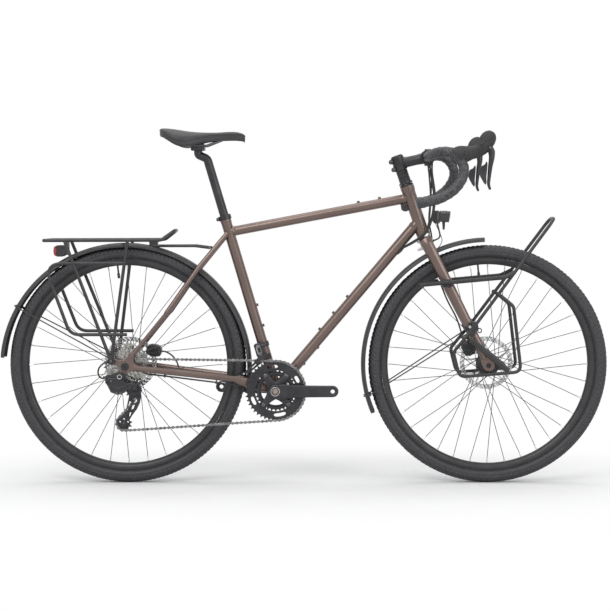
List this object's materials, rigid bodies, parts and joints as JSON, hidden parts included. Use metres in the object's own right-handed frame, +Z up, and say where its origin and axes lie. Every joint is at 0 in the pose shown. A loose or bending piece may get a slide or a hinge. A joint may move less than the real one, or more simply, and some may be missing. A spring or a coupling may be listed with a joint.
{
  "type": "touring bicycle",
  "caption": "Touring bicycle with a diamond frame, drop handlebar, disc brakes, mudguards, lamps, a low front rack and a rear rack; wheels, cranks, steering, levers and gears move.",
  "frame": {"origin": "on the ground, midway along the length, in the middle plane of the bicycle", "axes": "+X forward along the bicycle, +Z up, -Y to the chain side"},
  "size_m": [1.8172, 0.5074, 1.0618],
  "materials": {
    "bar_tape": "wound soft tape",
    "black_alloy": "black anodised",
    "black_plastic": "matt black",
    "black_rubber": "matt black",
    "bright_steel": "brushed steel",
    "bronze_paint": "satin metallic bronze",
    "chain_steel": "oiled steel",
    "cover_leather": "smooth dark cover",
    "red_lens": "clear red plastic",
    "satin_black": "satin black",
    "tyre_rubber": "ribbed dark rubber"
  },
  "bodies": {
    "frame": {"frame": "bronze_paint", "bottom_bracket": "black_alloy", "headset_upper_cup": "black_alloy", "headset_lower_cup": "bright_steel", "rear_axle": "black_alloy", "rear_rack": "black_alloy", "tail_lamp": "red_lens", "rear_fender": "black_plastic", "rear_fender_stay": "satin_black", "rear_caliper": "black_alloy", "front_derailleur_clamp": "black_alloy", "chain": "chain_steel", "rear_brake_hose": "black_rubber", "rear_shift_housing": "black_rubber", "front_shift_housing": "black_rubber", "rear_derailleur_mount": "black_alloy"},
    "seatpost": {"seatpost": "black_alloy", "saddle_clamp": "black_alloy", "saddle_rails": "satin_black", "saddle_shell": "black_plastic", "saddle_cover": "cover_leather"},
    "steering": {"fork": "bronze_paint", "headset_spacers": "black_alloy", "stem": "black_alloy", "stem_faceplate": "black_alloy", "handlebar": "black_alloy", "bar_tape_right": "bar_tape", "bar_tape_left": "bar_tape", "lever_hood_right": "black_rubber", "lever_hood_left": "black_rubber", "headlamp": "black_plastic", "front_fender": "black_plastic", "front_fender_stay": "satin_black", "front_rack": "black_alloy", "front_caliper": "black_alloy", "front_axle": "black_alloy", "front_brake_hose": "black_rubber"},
    "front_wheel": {"front_tyre": "tyre_rubber", "front_rim": "black_alloy", "front_hub": "black_alloy", "front_rotor": "bright_steel"},
    "rear_wheel": {"rear_tyre": "tyre_rubber", "rear_rim": "black_alloy", "rear_hub": "black_alloy", "rear_rotor": "bright_steel"},
    "cassette": {"cassette": "bright_steel"},
    "crankset": {"crank_right": "black_alloy", "crank_left": "black_alloy", "chainring_outer": "black_alloy", "chainring_inner": "black_alloy"},
    "derailleur_link": {"rear_derailleur_link": "black_alloy"},
    "derailleur_knuckle": {"rear_derailleur_knuckle": "black_alloy"},
    "derailleur_cage": {"rear_derailleur_cage": "black_alloy"},
    "guide_pulley": {"guide_pulley": "black_plastic"},
    "tension_pulley": {"tension_pulley": "black_plastic"},
    "front_changer_cage": {"front_derailleur_cage": "black_alloy"},
    "brake_lever_right": {"brake_lever_right": "black_alloy"},
    "brake_lever_left": {"brake_lever_left": "black_alloy"},
    "shift_paddle_right": {"shift_paddle_right": "satin_black"},
    "shift_paddle_left": {"shift_paddle_left": "satin_black"}
  },
  "joints": [
    {"name": "steering_turn", "type": "hinge", "parent": "frame", "child": "steering", "pos_m": [0.33836, 0, 0.81105], "axis": [-0.3256, 0, 0.9455], "range_deg": [-60, 60], "deforming": ["rear_brake_hose", "rear_shift_housing", "front_shift_housing"]},
    {"name": "front_wheel_spin", "type": "hinge", "parent": "steering", "child": "front_wheel", "pos_m": [0.55258, 0, 0.356], "axis": [0, 1, 0], "continuous": true},
    {"name": "rear_wheel_spin", "type": "hinge", "parent": "frame", "child": "rear_wheel", "pos_m": [-0.52492, 0, 0.356], "axis": [0, 1, 0], "continuous": true},
    {"name": "crank_spin", "type": "hinge", "parent": "frame", "child": "crankset", "pos_m": [-0.07962, 0, 0.2812], "axis": [0, 1, 0], "continuous": true, "deforming": ["chain"]},
    {"name": "cassette_spin", "type": "hinge", "parent": "frame", "child": "cassette", "pos_m": [-0.52492, 0, 0.356], "axis": [0, 1, 0], "continuous": true},
    {"name": "seatpost_height", "type": "slide", "parent": "frame", "child": "seatpost", "axis": [-0.2823, 0, 0.9593], "range_m": [-0.09, 0.05]},
    {"name": "rear_shift", "type": "hinge", "parent": "frame", "child": "derailleur_link", "pos_m": [-0.57492, -0.0868, 0.314], "axis": [0, 0.6, 0.8], "range_deg": [0, 33], "stiffness_Nm_per_rad": 0.6, "springref_deg": -8.59},
    {"name": "rear_shift_level", "type": "hinge", "parent": "derailleur_link", "child": "derailleur_knuckle", "pos_m": [-0.49492, -0.0868, 0.3], "axis": [0, 0.6, 0.8], "range_deg": [-33, 0]},
    {"name": "cage_swing", "type": "hinge", "parent": "derailleur_knuckle", "child": "derailleur_cage", "pos_m": [-0.49892, -0.068, 0.297], "axis": [0, 1, 0], "range_deg": [-25, 20], "stiffness_Nm_per_rad": 0.6},
    {"name": "guide_pulley_spin", "type": "hinge", "parent": "derailleur_cage", "child": "guide_pulley", "pos_m": [-0.50292, 0, 0.283], "axis": [0, 1, 0], "continuous": true},
    {"name": "tension_pulley_spin", "type": "hinge", "parent": "derailleur_cage", "child": "tension_pulley", "pos_m": [-0.53113, 0, 0.18602], "axis": [0, 1, 0], "continuous": true},
    {"name": "front_shift", "type": "hinge", "parent": "frame", "child": "front_changer_cage", "pos_m": [-0.11915, -0.044, 0.4155], "axis": [1, 0, 0], "range_deg": [0, 12], "stiffness_Nm_per_rad": 0.6, "springref_deg": -5.73},
    {"name": "brake_pull_right", "type": "hinge", "parent": "steering", "child": "brake_lever_right", "pos_m": [0.53999, -0.215, 0.99267], "axis": [0, 1, 0], "range_deg": [0, 25], "stiffness_Nm_per_rad": 0.6, "springref_deg": -8.59},
    {"name": "brake_pull_left", "type": "hinge", "parent": "steering", "child": "brake_lever_left", "pos_m": [0.53999, 0.215, 0.99267], "axis": [0, 1, 0], "range_deg": [0, 25], "stiffness_Nm_per_rad": 0.6, "springref_deg": -8.59},
    {"name": "shift_press_right", "type": "hinge", "parent": "brake_lever_right", "child": "shift_paddle_right", "pos_m": [0.52599, -0.215, 0.96418], "axis": [1, 0, 0], "range_deg": [0, 15], "stiffness_Nm_per_rad": 0.2, "springref_deg": -11.46},
    {"name": "shift_press_left", "type": "hinge", "parent": "brake_lever_left", "child": "shift_paddle_left", "pos_m": [0.52599, 0.215, 0.96418], "axis": [-1, 0, 0], "range_deg": [0, 15], "stiffness_Nm_per_rad": 0.2, "springref_deg": -11.46}
  ],
  "couplings": [
    {"joint": "cassette_spin", "follows": "crank_spin", "ratio": 4},
    {"joint": "tension_pulley_spin", "follows": "crank_spin", "ratio": 4},
    {"joint": "guide_pulley_spin", "follows": "crank_spin", "ratio": -4},
    {"joint": "rear_shift_level", "follows": "rear_shift", "ratio": -1}
  ]
}
